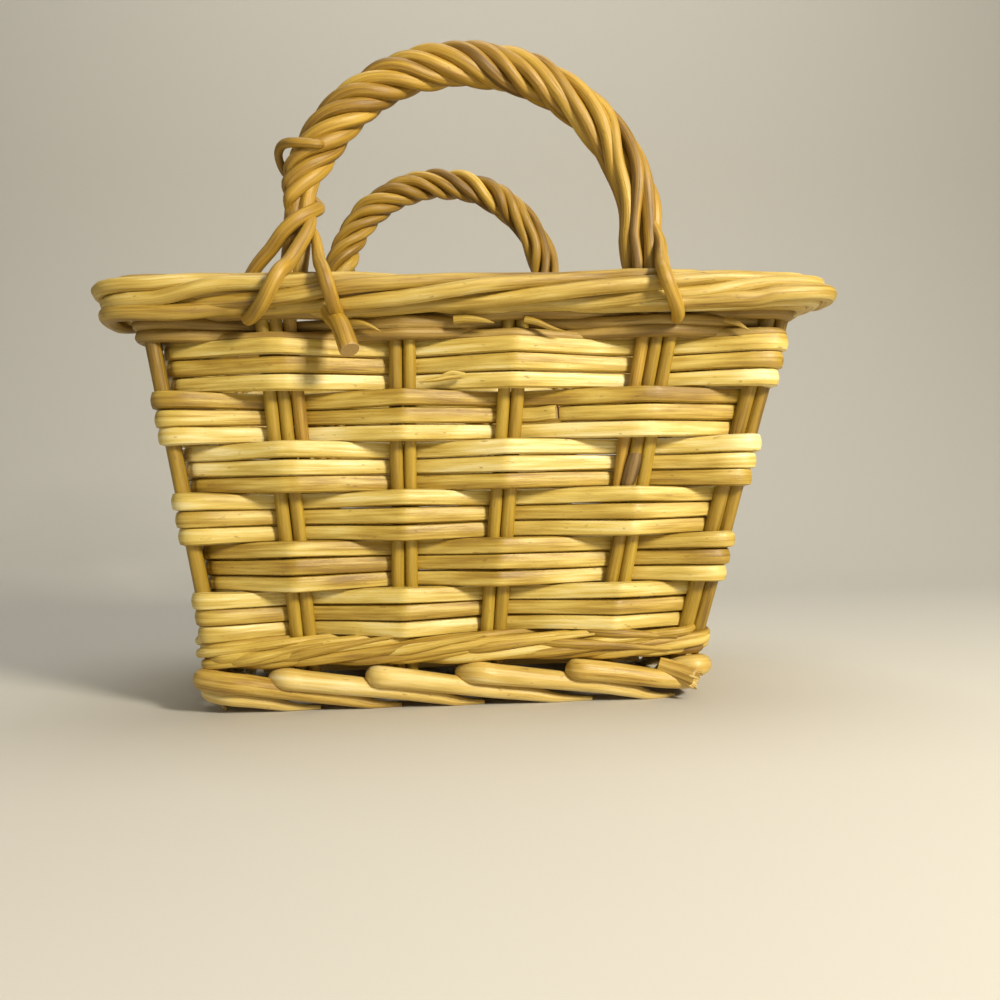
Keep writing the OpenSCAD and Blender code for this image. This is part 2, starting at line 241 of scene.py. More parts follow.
class Handle:
    """Middle line of a roped handle, from its left foot on the border over the arch to its right foot."""

    def __init__(self, wall, left, right, arch_r, rise, rope_d, shift):
        self.wall = wall
        self.left = left
        self.right = right
        self.rope_r = rope_d / 2
        foot = wall.leg(left, wall.border_z)
        far = wall.leg(right, wall.border_z)
        middle = Vector((shift, foot.y, wall.border_top + rise - rope_d / 2 - arch_r))
        raw = [foot.lerp(middle + Vector((-arch_r, 0, 0)), t / 12) for t in range(12)]
        raw += [middle + arch_r * Vector((-math.cos(a), 0, math.sin(a)))
                for a in (math.pi * t / 90 for t in range(91))]
        raw += [(middle + Vector((arch_r, 0, 0))).lerp(far, t / 12) for t in range(1, 13)]
        self.line = raw
        self.run = [0.0]
        for p, q in zip(raw, raw[1:]):
            self.run.append(self.run[-1] + (q - p).length)
        self.length = self.run[-1]
        self.foot_run = wall.border_top - wall.border_z

    def at(self, s):
        """Point and outward direction of the arch at a length along the line."""
        s = min(self.length - 0.01, max(0.01, s))
        i = next(n for n in range(len(self.run) - 1) if self.run[n + 1] >= s)
        t = (s - self.run[i]) / (self.run[i + 1] - self.run[i])
        before = self.line[max(0, i - 2)]
        after = self.line[min(len(self.line) - 1, i + 3)]
        way = (after - before).normalized()
        return self.line[i].lerp(self.line[i + 1], t), Vector((-way.z, 0, way.x))

    def beside(self, s, angle, r):
        """Point at a distance from the line, the angle counted from the arch's outer side to the back."""
        p, away = self.at(s)
        a = math.radians(angle)
        return p + away * (r * math.cos(a)) + Vector((0, 1, 0)) * (r * math.sin(a))


class Rods:
    """Paths of the rods of one piece, in millimetres, with what each point carries for its look."""

    def __init__(self, seed):
        self.rng = random.Random(seed)
        self.points = []
        self.edges = []
        self.data = {"thickness": [], "tone": [], "run": [], "cut": []}

    def edge(self, end, inner):
        """Point just in from a cut end, where the rod has its full thickness."""
        return end.lerp(inner, min(0.4, CUT_EDGE / max(0.01, (inner - end).length)))

    def add(self, path, tone=None, cut=(False, False)):
        """Adds one rod through points of (x, y, z, radius); a cut end shows its pith."""
        path = [Vector(p) for p in path]
        marks = [0.0] * len(path)
        if cut[0]:
            path.insert(1, self.edge(path[0], path[1]))
            marks = [1.0] + marks
            path[0].w *= CUT_FACE
        if cut[1]:
            path.insert(-1, self.edge(path[-1], path[-2]))
            marks = marks + [1.0]
            path[-1].w *= CUT_FACE
        tone = self.rng.random() if tone is None else tone
        start = len(self.points)
        run = self.rng.uniform(0, 3)
        for n, p in enumerate(path):
            if n:
                run += (p.xyz - path[n - 1].xyz).length / 1000
                self.edges.append((start + n - 1, start + n))
            self.points.append(p.xyz / 1000)
            self.data["thickness"].append(max(0.05, p.w) / 1000)
            self.data["tone"].append(tone)
            self.data["run"].append(run)
            self.data["cut"].append(marks[n])

    def mesh(self, name):
        mesh = bpy.data.meshes.new(name)
        mesh.from_pydata(self.points, self.edges, [])
        for key, values in self.data.items():
            layer = mesh.attributes.new(key, "FLOAT", "POINT")
            layer.data.foreach_set("value", values)
        return mesh


class Rope:
    """Twist of the rods round a handle: how they slope along it and where each lies round the bow."""

    def __init__(self, handle, ring, slopes, start, first):
        self.handle = handle
        self.ring = ring
        self.turned = {}
        angle = first
        for n in range(round(start * 2), int(handle.length * 2) + 1):
            self.turned[n] = angle
            angle -= math.degrees(math.tan(math.radians(along_table(slopes, n / 2))) / ring) / 2
        self.start = start

    def lay(self, rods, start, shares, thick, tip):
        """One rod, from a thin tip that comes out of the bow's side to the handle's far foot."""
        rng = rods.rng
        stray = wander(rng, 11.0, 60)
        proud = wander(rng, 0.6, 45)
        swell = wander(rng, 0.14, 40)
        size = rng.uniform(0.94, 1.07)
        path = []
        for n in range(round(max(start, self.start) * 2), int(self.handle.length * 2) - 5, 2):
            s = n / 2
            grown = ease((s - start) / tip) if tip else 1.0
            r = along_table(thick, s) * size * (1 + swell(s))
            # The rods spread a little as they come down to the far foot
            fan = 0.7 * ease((s - self.handle.length + 45) / 35)
            reach = self.ring + proud(s) + (ROPE_ROD - r) * 0.5 + fan
            angle = self.turned[n] + along_table(shares, s) + stray(s)
            point = self.handle.beside(s, angle, mix(reach - TIP_DEPTH, reach, grown))
            path.append((*point, mix(TIP_SHARE, 1.0, grown) * r))
        rods.add(path)


def add(tree, kind, inputs=None, **settings):
    """Adds a node with its settings, values and links."""
    node = tree.nodes.new(kind)
    for key, value in settings.items():
        setattr(node, key, value)
    for key, value in (inputs or {}).items():
        if isinstance(value, bpy.types.NodeSocket):
            tree.links.new(value, node.inputs[key])
        else:
            node.inputs[key].default_value = value
    return node


def rod_tree():
    """Geometry nodes that give every path a round or flattened section of its own thickness."""
    if "willow_rods" in bpy.data.node_groups:
        return bpy.data.node_groups["willow_rods"]
    tree = bpy.data.node_groups.new("willow_rods", "GeometryNodeTree")
    face = tree.interface
    face.new_socket("Geometry", in_out="INPUT", socket_type="NodeSocketGeometry")
    face.new_socket("Sides", in_out="INPUT", socket_type="NodeSocketInt")
    face.new_socket("Flatness", in_out="INPUT", socket_type="NodeSocketFloat")
    face.new_socket("Material", in_out="INPUT", socket_type="NodeSocketMaterial")
    face.new_socket("Geometry", in_out="OUTPUT", socket_type="NodeSocketGeometry")
    given = add(tree, "NodeGroupInput").outputs
    curve = add(tree, "GeometryNodeMeshToCurve", {"Mesh": given["Geometry"]})
    circle = add(tree, "GeometryNodeCurvePrimitiveCircle", {"Resolution": given["Sides"], "Radius": 1.0})
    place = add(tree, "GeometryNodeInputPosition")
    profile = add(
        tree, "GeometryNodeStoreNamedAttribute",
        {"Geometry": circle.outputs["Curve"], "Name": "side", "Value": place.outputs["Position"]},
        data_type="FLOAT_VECTOR", domain="POINT",
    )
    # A flattened section is drawn out toward a square whose sides stay upright
    flat = add(
        tree, "FunctionNodeCompare", {"A": given["Flatness"], "B": 0.0},
        data_type="FLOAT", operation="GREATER_THAN",
    )
    upright = add(
        tree, "GeometryNodeSetCurveNormal",
        {"Curve": curve.outputs["Curve"], "Selection": flat.outputs["Result"]}, mode="Z_UP",
    )
    corner = add(tree, "ShaderNodeVectorMath", {0: place.outputs["Position"]}, operation="ABSOLUTE")
    reach = add(tree, "ShaderNodeSeparateXYZ", {"Vector": corner.outputs["Vector"]})
    widest = add(
        tree, "ShaderNodeMath", {0: reach.outputs["X"], 1: reach.outputs["Y"]}, operation="MAXIMUM")
    square = add(tree, "ShaderNodeMath", {0: 1.0, 1: widest.outputs[0]}, operation="DIVIDE")
    excess = add(tree, "ShaderNodeMath", {0: square.outputs[0], 1: 1.0}, operation="SUBTRACT")
    grown = add(
        tree, "ShaderNodeMath", {0: excess.outputs[0], 1: given["Flatness"], 2: 1.0},
        operation="MULTIPLY_ADD",
    )
    drawn = add(
        tree, "ShaderNodeVectorMath", {0: place.outputs["Position"], "Scale": grown.outputs[0]},
        operation="SCALE",
    )
    section = add(
        tree, "GeometryNodeSetPosition",
        {"Geometry": profile.outputs["Geometry"], "Position": drawn.outputs["Vector"]},
    )
    thickness = add(tree, "GeometryNodeInputNamedAttribute", {"Name": "thickness"}, data_type="FLOAT")
    skin = add(
        tree, "GeometryNodeCurveToMesh",
        {
            "Curve": upright.outputs["Curve"], "Profile Curve": section.outputs["Geometry"],
            "Scale": thickness.outputs["Attribute"], "Fill Caps": True,
        },
    )
    run = add(tree, "GeometryNodeInputNamedAttribute", {"Name": "run"}, data_type="FLOAT")
    side = add(tree, "GeometryNodeInputNamedAttribute", {"Name": "side"}, data_type="FLOAT_VECTOR")
    parts = add(tree, "ShaderNodeSeparateXYZ", {"Vector": side.outputs["Attribute"]})
    grain = add(
        tree, "ShaderNodeCombineXYZ",
        {"X": run.outputs["Attribute"], "Y": parts.outputs["X"], "Z": parts.outputs["Y"]},
    )
    store = add(
        tree, "GeometryNodeStoreNamedAttribute",
        {"Geometry": skin.outputs["Mesh"], "Name": "grain", "Value": grain.outputs["Vector"]},
        data_type="FLOAT_VECTOR", domain="POINT",
    )
    smooth = add(tree, "GeometryNodeSetShadeSmooth", {"Geometry": store.outputs["Geometry"]})
    real = add(tree, "GeometryNodeRealizeInstances", {"Geometry": smooth.outputs["Geometry"]})
    painted = add(
        tree, "GeometryNodeSetMaterial",
        {"Geometry": real.outputs["Geometry"], "Material": given["Material"]},
    )
    add(tree, "NodeGroupOutput", {"Geometry": painted.outputs["Geometry"]})
    return tree


def build(name, rods, material, nodes=(), sides=14, flatness=0.0):
    """Turns the paths of a piece into a mesh that rides on the basket and stands for its CAD nodes."""
    tree = rod_tree()
    piece = bpy.data.objects.new(name, rods.mesh(name + "_paths"))
    modifier = piece.modifiers.new("willow_rods", "NODES")
    modifier.node_group = tree
    sockets = {s.name: s.identifier for s in tree.interface.items_tree if s.in_out == "INPUT"}
    modifier[sockets["Sides"]] = sides
    modifier[sockets["Flatness"]] = flatness
    modifier[sockets["Material"]] = material
    bpy.context.scene.collection.objects.link(piece)
    graph = bpy.context.evaluated_depsgraph_get()
    mesh = bpy.data.meshes.new_from_object(
        piece.evaluated_get(graph), preserve_all_data_layers=True, depsgraph=graph
    )
    if not mesh.polygons:
        raise RuntimeError(f"{name} came out empty")
    piece.modifiers.remove(modifier)
    piece.data = mesh
    mesh.name = name
    mesh.set_sharp_from_angle(angle=math.radians(50))
    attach(piece, "root")
    if nodes:
        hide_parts(*nodes)
    return piece


# Materials
def willow(name, pale, straw, golden, brown, roughness):
    """Peeled willow rod: a smooth satin skin whose colour drifts from pale to golden along the rod,
    with long fine fibres, a few brown flecks and a browner face where it was cut."""
    if name in bpy.data.materials:
        return bpy.data.materials[name]
    material = bpy.data.materials.new(name)
    material.use_nodes = True
    tree = material.node_tree
    tree.nodes.clear()
    grain = add(tree, "ShaderNodeAttribute", attribute_name="grain").outputs["Vector"]
    tone = add(tree, "ShaderNodeAttribute", attribute_name="tone").outputs["Fac"]
    cut = add(tree, "ShaderNodeAttribute", attribute_name="cut").outputs["Fac"]
    seed = add(tree, "ShaderNodeMath", {0: tone, 1: 37.0}, operation="MULTIPLY").outputs[0]
    # The grain's first value is metres along the rod, the others run from -1 to 1 across it
    fields = {}
    for key, scale, detail in (
        # Drifts of colour about 45 mm long that reach half round the rod
        ("drift", (22.0, 0.5, 0.5), 2.0),
        # Fibres about 30 mm long and 1 mm wide on a 6 mm rod
        ("fibre", (34.0, 3.2, 3.2), 4.0),
        # Flecks about 3 mm long
        ("fleck", (260.0, 2.2, 2.2), 1.0),
        # Pores and scratches about 2 mm long and 0.3 mm wide
        ("pore", (420.0, 9.0, 9.0), 2.0),
    ):
        stretched = add(tree, "ShaderNodeMapping", {"Vector": grain, "Scale": scale}).outputs["Vector"]
        fields[key] = add(
            tree, "ShaderNodeTexNoise",
            {"Vector": stretched, "W": seed, "Scale": 1.0, "Detail": detail, "Roughness": 0.6},
            noise_dimensions="4D",
        ).outputs["Fac"]
    own = add(tree, "ShaderNodeMath", {0: tone, 1: 0.22}, operation="MULTIPLY").outputs[0]
    drifted = add(
        tree, "ShaderNodeMath", {0: fields["drift"], 1: 0.78, 2: own}, operation="MULTIPLY_ADD"
    ).outputs[0]
    streaked = add(
        tree, "ShaderNodeMath", {0: fields["fibre"], 1: 0.6, 2: drifted}, operation="MULTIPLY_ADD"
    ).outputs[0]
    ramp = add(tree, "ShaderNodeValToRGB", {"Fac": streaked})
    stops = ramp.color_ramp.elements
    stops[0].position = 0.5
    stops[0].color = linear(pale)
    stops[1].position = 1.0
    stops[1].color = linear(brown)
    for position, colour in ((0.7, straw), (0.88, golden)):
        stops.new(position).color = linear(colour)
    flecked = add(
        tree, "ShaderNodeMapRange",
        {"Value": fields["fleck"], "From Min": 0.67, "From Max": 0.77, "To Min": 0.0, "To Max": 0.6},
    ).outputs["Result"]
    # The mix node's colour sockets are its seventh and eighth
    spotted = add(
        tree, "ShaderNodeMix", {0: flecked, 6: ramp.outputs["Color"], 7: linear(FLECK_BROWN)},
        data_type="RGBA",
    )
    ended = add(
        tree, "ShaderNodeMix", {0: cut, 6: spotted.outputs[2], 7: linear(CUT_BROWN)}, data_type="RGBA",
    )
    rough = add(
        tree, "ShaderNodeMapRange",
        {"Value": fields["fibre"], "From Min": 0.3, "From Max": 0.7,
         "To Min": roughness - 0.06, "To Max": roughness + 0.1},
    ).outputs["Result"]
    fine = add(
        tree, "ShaderNodeMath", {0: fields["pore"], 1: 0.45, 2: fields["fibre"]}, operation="MULTIPLY_ADD"
    ).outputs[0]
    bump = add(tree, "ShaderNodeBump", {"Height": fine, "Strength": 0.8, "Distance": 0.0004})
    shader = add(
        tree, "ShaderNodeBsdfPrincipled",
        {
            "Base Color": ended.outputs[2], "Roughness": rough, "Normal": bump.outputs["Normal"],
            "IOR": 1.5, "Specular IOR Level": 0.6,
        },
    )
    add(tree, "ShaderNodeOutputMaterial", {"Surface": shader.outputs["BSDF"]})
    return material


def siding_willow():
    """Whole peeled rods: pale cream with golden streaks and a satin sheen."""
    return willow("peeled_willow_siding", "#f0e2a8", "#d4ba5e", "#ac8c2f", "#8c6c1f", 0.46)


def stake_willow():
    """Thick peeled rods: a deeper gold, even along their length."""
    return willow("golden_willow_stakes", "#c2a63c", "#aa8a26", "#947518", "#725511", 0.46)


def border_willow():
    """Peeled rods at the rim, where hands touch them: cream that has turned golden."""
    return willow("peeled_willow_border", "#dfd090", "#c4a74e", "#9e7e2a", "#755617", 0.46)


def rope_willow():
    """Rods twisted while wet and worn by hands: deep gold with brown fibres."""
    return willow("twisted_willow_rope", "#dab854", "#b8922f", "#936f1c", "#6d4f12", 0.48)


def foot_willow():
    """Thick butt ends: the palest wood, with the smoothest skin."""
    return willow("thick_willow_butts", "#f3e3ac", "#dfc370", "#c4a146", "#987428", 0.42)


def wale_willow():
    """Thin tips: cream and gold, a little duller than the thick rods."""
    return willow("thin_willow_waling", "#ead890", "#cfb04c", "#a8852a", "#7c5c18", 0.48)


def painted_shade_willow():
    """Thin rods under the rim, darkened and browned with painted shade from the border above, with little
    shine.
    """
    return willow("painted_shade_willow_waling", "#bca055", "#997a33", "#765a20", "#523c12", 0.55)


def bark_willow():
    """Bark left on: grey brown and dull."""
    return willow("unpeeled_willow_bark", "#b89c58", "#9a7e42", "#7a6030", "#56401c", 0.7)


# Sizes and colours that a user would change
class BasketSizes(bpy.types.PropertyGroup):
    """Sizes of the basket's wall and rods"""

    base_width: FloatProperty(
        name="Base width", description="Stake line at the floor, side to side", default=0.196,
        unit="LENGTH")
    base_depth: FloatProperty(
        name="Base depth", description="Stake line at the floor, front to back", default=0.101,
        unit="LENGTH")
    flare: FloatProperty(
        name="Flare", description="Lean of the walls", default=math.radians(10.6), unit="ROTATION")
    rim_shift: FloatProperty(
        name="Rim shift", description="How far the rim stands to the right of the base", default=0.009,
        unit="LENGTH")
    corner_radius: FloatProperty(
        name="Corner radius", description="Round of the corners on the stake line", default=0.008,
        unit="LENGTH")
    stake_diameter: FloatProperty(
        name="Stake thickness", description="Thickness of one upright rod", default=0.0054, unit="LENGTH")
    siding_rod: FloatProperty(
        name="Siding rod", description="Thickness of one rod of the wall", default=0.0067, unit="LENGTH")
    border_rod: FloatProperty(
        name="Border rod", description="Thickness of a border rod at its butt", default=0.0072,
        unit="LENGTH")
    border_width: FloatProperty(
        name="Border width", description="Width of the rolled border", default=0.028, unit="LENGTH")
    border_height: FloatProperty(
        name="Border height", description="Height of the rolled border", default=0.0166, unit="LENGTH")
    foot_rod: FloatProperty(
        name="Foot rod", description="Thickness of a foot rod at its butt", default=0.0094, unit="LENGTH")


class HandleSizes(bpy.types.PropertyGroup):
    """Sizes of the two roped handles"""

    front_radius: FloatProperty(
        name="Front arch", description="Radius of the front arch's middle line", default=0.0705,
        unit="LENGTH")
    rear_radius: FloatProperty(
        name="Rear arch", description="Radius of the rear arch's middle line", default=0.059, unit="LENGTH")
    front_rise: FloatProperty(
        name="Front rise", description="Height of the front handle above the border", default=0.0955,
        unit="LENGTH")
    rear_rise: FloatProperty(
        name="Rear rise", description="Height of the rear handle above the border", default=0.0995,
        unit="LENGTH")
    front_rope: FloatProperty(
        name="Front rope", description="Thickness of the front rope", default=0.018, unit="LENGTH")
    rear_rope: FloatProperty(
        name="Rear rope", description="Thickness of the rear rope", default=0.0166, unit="LENGTH")
    rear_shift: FloatProperty(
        name="Rear shift", description="Place of the rear arch's middle, left of the front's",
        default=-0.008, unit="LENGTH")


class StageSettings(bpy.types.PropertyGroup):
    """Floor, light and camera"""

    floor_colour: FloatVectorProperty(
        name="Floor", description="Colour of the floor and backdrop", subtype="COLOR", size=4,
        default=linear("#c9c5b9"))
    camera_place: FloatVectorProperty(
        name="Camera", description="Place of the camera", subtype="XYZ", unit="LENGTH",
        default=(-0.0176, -0.4872, 0.08565))
    camera_turn: FloatVectorProperty(
        name="Camera turn", description="Yaw to the right, pitch down and roll of the camera",
        subtype="EULER",
        default=(math.radians(3.93), math.radians(-0.354), math.radians(-1.156)))


def front_handle(context):
    sizes = context.scene.basket_handles
    return Handle(
        Wall(context.scene.basket_sizes), 1, 4, sizes.front_radius * 1000, sizes.front_rise * 1000,
        sizes.front_rope * 1000, 0.0)


def rear_handle(context):
    sizes = context.scene.basket_handles
    return Handle(
        Wall(context.scene.basket_sizes), 12, 9, sizes.rear_radius * 1000, sizes.rear_rise * 1000,
        sizes.rear_rope * 1000, sizes.rear_shift * 1000)


class BASKET_OT_base(bpy.types.Operator):
    """Base of rods laid side by side on five bars"""

    bl_idname = "basket.base"
    bl_label = "Base"

    def execute(self, context):
        wall = Wall(context.scene.basket_sizes)
        # The rods stay clear of the stakes and are shorter near the corners
        z = wall.foot_h + 0.3
        clear = wall.stake_r + 0.2
        half_x = wall.half_w(z) - clear
        half_y = wall.half_d(z) - clear
        pitch = 5
        rods = Rods(11)
        number = int((2 * half_x - 0.6) / pitch)
        for n in range(number):
            x = (n - (number - 1) / 2) * pitch
            reach = half_y - max(0.0, abs(x) - half_x + 6)
            r = rods.rng.uniform(2.4, 2.62)
            drift = wander(rods.rng, 0.25, 60)
            ends = [-1, -0.6, -0.2, 0.2, 0.6, 1]
            path = [(wall.middle_x(z) + x + drift(e * reach), e * reach, z + pitch / 2, r) for e in ends]
            rods.add(curve_through(path, 8), cut=(True, True))
        build("base_rods", rods, wale_willow(), ["base_mat"], 12)
        # Five bars under them, within the foot
        bars = Rods(12)
        long_x = wall.half_w(0) - 13.4
        long_y = wall.half_d(0) - 17.9
        bar_z = 16.4
        for n in range(5):
            y = long_y * (n / 2 - 1)
            path = []
            for e in (-1, -0.5, 0, 0.5, 1):
                x = wall.middle_x(0) + long_x * e
                path.append((x, y + bars.rng.uniform(-0.4, 0.4), bar_z, mix(3.3, 2.9, (e + 1) / 2)))
            bars.add(curve_through(path, 10), cut=(True, True))
        build("base_bars", bars, foot_willow(), ["base_sticks"])
        return {"FINISHED"}


class BASKET_OT_foot(bpy.types.Operator):
    """Foot rods, each coming out beside a stake pair and running down under the next one"""

    bl_idname = "basket.foot"
    bl_label = "Foot"

    def execute(self, context):
        wall = Wall(context.scene.basket_sizes)
        r = context.scene.basket_sizes.foot_rod * 500
        for i, place in enumerate(PLACES):
            rods = Rods(40 + i)
            # A rod comes out some millimetres before its own pair and ends about a stake gap past the next
            back = 1.0 if i in CORNER_MOVE else rods.rng.uniform(7.5, 10.5)
            gap = wall.gap(i, 10)
            reach = 1.1 if (i + 1) % COUNT in CORNER_MOVE else 0.95
            lift = rods.rng.uniform(-0.4, 0.4)
            path = [
                (*wall.place(i, wall.foot_h - r - 2.0, -back - 4.0, -1.0), r * 0.7),
                (*wall.place(i, wall.foot_h - r - 0.6, -back - 3.6, 4.0), r * 0.9),
            ]
            for n in range(13):
                t = n / 12
                k = i - back / gap + (1 + reach + back / gap) * t
                thick = mix(r, r * 0.62, t) * mix(1.0, 0.3, ease((t - 0.7) / 0.3))
                z = max(thick, mix(wall.foot_h - r + lift, thick - 1.0, t / 0.9))
                p = wall.at(k, z, mix(8.8, 2.2, t ** 1.3), kink=FOOT_KINK)[0]
                path.append((*p, thick))
            rods.add(curve_through(path, 2.0))
            build("foot_stick_" + place, rods, foot_willow(), ["foot_rod_" + place], 20)
        return {"FINISHED"}


class BASKET_OT_stakes(bpy.types.Operator):
    """Upright stakes, two rods side by side at each place"""

    bl_idname = "basket.stakes"
    bl_label = "Stakes"

    def execute(self, context):
        wall = Wall(context.scene.basket_sizes)
        for i, place in enumerate(PLACES):
            rods = Rods(80 + i)
            # Corner pairs start higher, are thicker and stand turned and moved
            low = wall.foot_h - (0.3 if i in CORNER_MOVE else 4.7)
            high = wall.border_z - 7.22
            wide = 1.13 if i in CORNER_MOVE else 1.0
            move = Vector((*CORNER_MOVE.get(i, (0, 0)), 0))
            turn = Matrix.Rotation(math.radians(CORNER_TURN.get(i, 0)), 3, "Z")
            apart = (wall.stake_r + 0.1) * wide
            for side in (-1, 1):
                drift = wander(rods.rng, 0.16, 90)
                thick = rods.rng.uniform(0.97, 1.05) * wide
                path = []
                for n in range(15):
                    t = n / 14
                    z = mix(low, high, t)
                    middle, normal = wall.at(i, z)
                    way = turn @ Vector((-normal.y, normal.x, 0))
                    p = middle + move + way * (side * apart + drift(z))
                    path.append((*p, mix(wall.stake_r + 0.12, wall.stake_r - 0.05, t) * thick))
                rods.add(curve_through(path, 5), cut=(True, False))
            build("stake_rods_" + place, rods, stake_willow(), ["stakes_" + place])
        return {"FINISHED"}


class BASKET_OT_siding(bpy.types.Operator):
    """Six rows of three rods, each row woven over one stake pair and under the next"""

    bl_idname = "basket.siding"
    bl_label = "Siding"

    def execute(self, context):
        wall = Wall(context.scene.basket_sizes)
        base_r = context.scene.basket_sizes.siding_rod * 500
        # How far a rod's middle line stands out over a pair, and the step from rod to rod in a row
        swing = 6.9
        rod_step = 2 * base_r + 0.1
        for b in range(1, ROWS + 1):
            rods = Rods(120 + b)
            rng = rods.rng
            row = ROWS + 1 - b
            middle = wall.siding_z0 + (b - 0.5) * wall.band_pitch
            for j in (-1, 0, 1):
                # The middle rod of the fifth row is spliced in sight, on the front
                spliced = b == 5 and j == 0
                # A rod's ends meet behind a pair at the back or at an end wall, another pair for each rod
                behind = (6, 10, 12, 14) if row % 2 else (7, 9, 11, 15)
                start = 3.37 if spliced else behind[(b + 2 * j) % 4] + rng.uniform(-0.03, 0.03)
                rise = wander(rng, 0.32, 120)
                sway = wander(rng, 0.3, 90)
                swell = wander(rng, 0.05, 130)
                first_r = base_r * rng.uniform(1.0, 1.05)
                last_r = base_r * rng.uniform(0.96, 1.0)
                path = []
                k = start
                s = 0.0
                stop = start + COUNT - 0.02
                while k < stop:
                    run = (k - start) / COUNT
                    waved = wall.weave(k, row, middle)
                    r = mix(first_r, last_r, run) * (1 + swell(s) + 0.03 * waved)
                    out = swing * waved + sway(s)
                    z = middle + j * rod_step * (1 + 0.05 * max(0.0, waved)) + rise(s)
                    if spliced:
                        out += 1.5 * ease(1 - (stop - k) * 6) - 1.3 * ease(1 - (k - start) * 6)
                        z += 0.7 * ease(1 - (stop - k) * 6)
                    # Kinked hard at a corner, the rods lie closer to the end walls there
                    corner, share = min((abs((k - c + 8) % COUNT - 8), CORNER_KEEP[c]) for c in CORNER_KEEP)
                    end_out = out
                    if out > 0:
                        end_out = out * mix(1.0, share, ease(1 - corner))
                        r *= mix(1.0, 1.1, ease(1 - corner * 3))
                    p = wall.at(k, z, out, end_out, SIDING_KINK)[0]
                    path.append((*p, r))
                    # Short steps at the stakes keep the kink there crisp
                    length = wall.gap(math.floor(k), middle)
                    near = min(k % 1, 1 - k % 1) * length
                    step = 1.2 if near < 6 else 2.8
                    k += step / length
                    s += step
                rods.add(path, cut=(True, True))
            build(f"siding_rods_{b}", rods, siding_willow(), [f"siding_band_{b}"], 16, 0.4)
        return {"FINISHED"}


class BASKET_OT_wales(bpy.types.Operator):
    """Slanting waling rods at the foot of the wall and four thin rods under the border"""

    bl_idname = "basket.wales"
    bl_label = "Wales"

    def bottom(self, wall):
        """Rods that come out between two stakes, slant up past two more and go in again."""
        rods = Rods(160)
        rng = rods.rng
        for n in range(32):
            k = n / 2 + (0.3 if n % 2 == 0 else 0.2)
            low = rng.uniform(-0.8, 0.8)
            top = rng.uniform(-1.2, 0.8)
            lift = rng.uniform(0.0, 1.6)
            r = rng.uniform(2.05, 2.5)
            # Place along in stake gaps, height, distance out and share of the rod's thickness
            steps = (
                (-0.75, 21.4, -5.6, 0.9), (-0.28, 21.2, -4.6, 1.0), (0.0, 21.5, 0.5, 1.0),
                (0.3, 22.0, 5.2, 1.0), (0.8, 24.0, 6.0, 1.0), (1.3, 26.6, 6.2, 0.95),
                (1.75, 28.8, 6.0, 0.9), (2.15, 30.3, 5.2, 0.8), (2.5, 30.8, 0.5, 0.7),
                (2.8, 30.4, -4.4, 0.55), (3.0, 29.8, -5.2, 0.4),
            )
            path = []
            for shift, z, out, share in steps:
                z += mix(low, top, (shift + 0.75) / 3.75)
                raised = lift if out > 5 else 0.0
                p = wall.at(k + shift, z, out + raised + rng.uniform(-0.2, 0.2), kink=WALE_KINK)[0]
                path.append((*p, r * share))
            rods.add(curve_through(path, 2.6))
        # Tips left on the outside, and a few rods crossing down to the right: start and length in stake
        # gaps, height at both ends and distance out
        for k, span, z0, z1, out in (
            (0.1, 1.1, 22.3, 29.3, 9.4), (0.65, 1.3, 23.3, 32.4, 9.2), (1.7, 1.2, 24.3, 31.6, 9.3),
            (2.6, 1.25, 24.8, 30.4, 9.2), (3.25, 1.5, 28.3, 22.8, 9.6), (3.75, 1.05, 31.6, 28.2, 8.8),
            (3.1, 1.4, 22.2, 26.8, 8.9), (6.2, 1.2, 22.4, 29.8, 9.2), (7.4, 1.1, 29.4, 23.2, 9.3),
            (9.3, 1.2, 22.8, 29.8, 9.2), (11.2, 1.3, 23.3, 30.3, 9.3), (13.4, 1.1, 22.8, 29.8, 9.2),
        ):
            path = []
            for t in (0, 0.12, 0.3, 0.55, 0.8, 1.0):
                away = mix(3.0, out, ease(t / 0.2)) - 0.8 * t
                p = wall.at(k + span * t, mix(z0, z1, t), away, kink=WALE_KINK)[0]
                path.append((*p, mix(2.3, 0.6, max(0.0, t - 0.3) / 0.7)))
            rods.add(curve_through(path, 2.4))
        return rods

    def execute(self, context):
        wall = Wall(context.scene.basket_sizes)
        build(
            "bottom_waling", self.bottom(wall), wale_willow(),
            ["bottom_wale_lower", "bottom_wale_upper", "bottom_wale_inner"],
        )
        thin = Rods(170)
        swing = 5.4
        step = 2.4
        # Height, radius, start and row of each thin rod
        for z, thick, start, row in (
            (156.2, 2.5, 10.9, 0), (160.4, 2.6, 14.4, 0), (163.8, 2.6, 7.5, 1), (155.0, 2.1, 10.2, 1),
        ):
            sway = wander(thin.rng, 0.5, 80)
            rise = wander(thin.rng, 0.5, 110)
            swell = wander(thin.rng, 0.14, 100)
            k = start
            s = 0.0
            path = []
            while k < start - 0.02 + COUNT:
                waved = wall.weave(k, row, z)
                p = wall.at(k, z + rise(s), swing * waved + sway(s), kink=WALE_KINK)[0]
                path.append((*p, thick * (1 + swell(s)) * (1 + 0.14 * waved)))
                k += step / wall.gap(math.floor(k), z)
                s += step
            thin.add(path, cut=(True, True))
        # The thin rods take a darker copy of the waling colours: painted shade under the border
        build("top_waling", thin, painted_shade_willow(), ["top_wale"])
        return {"FINISHED"}


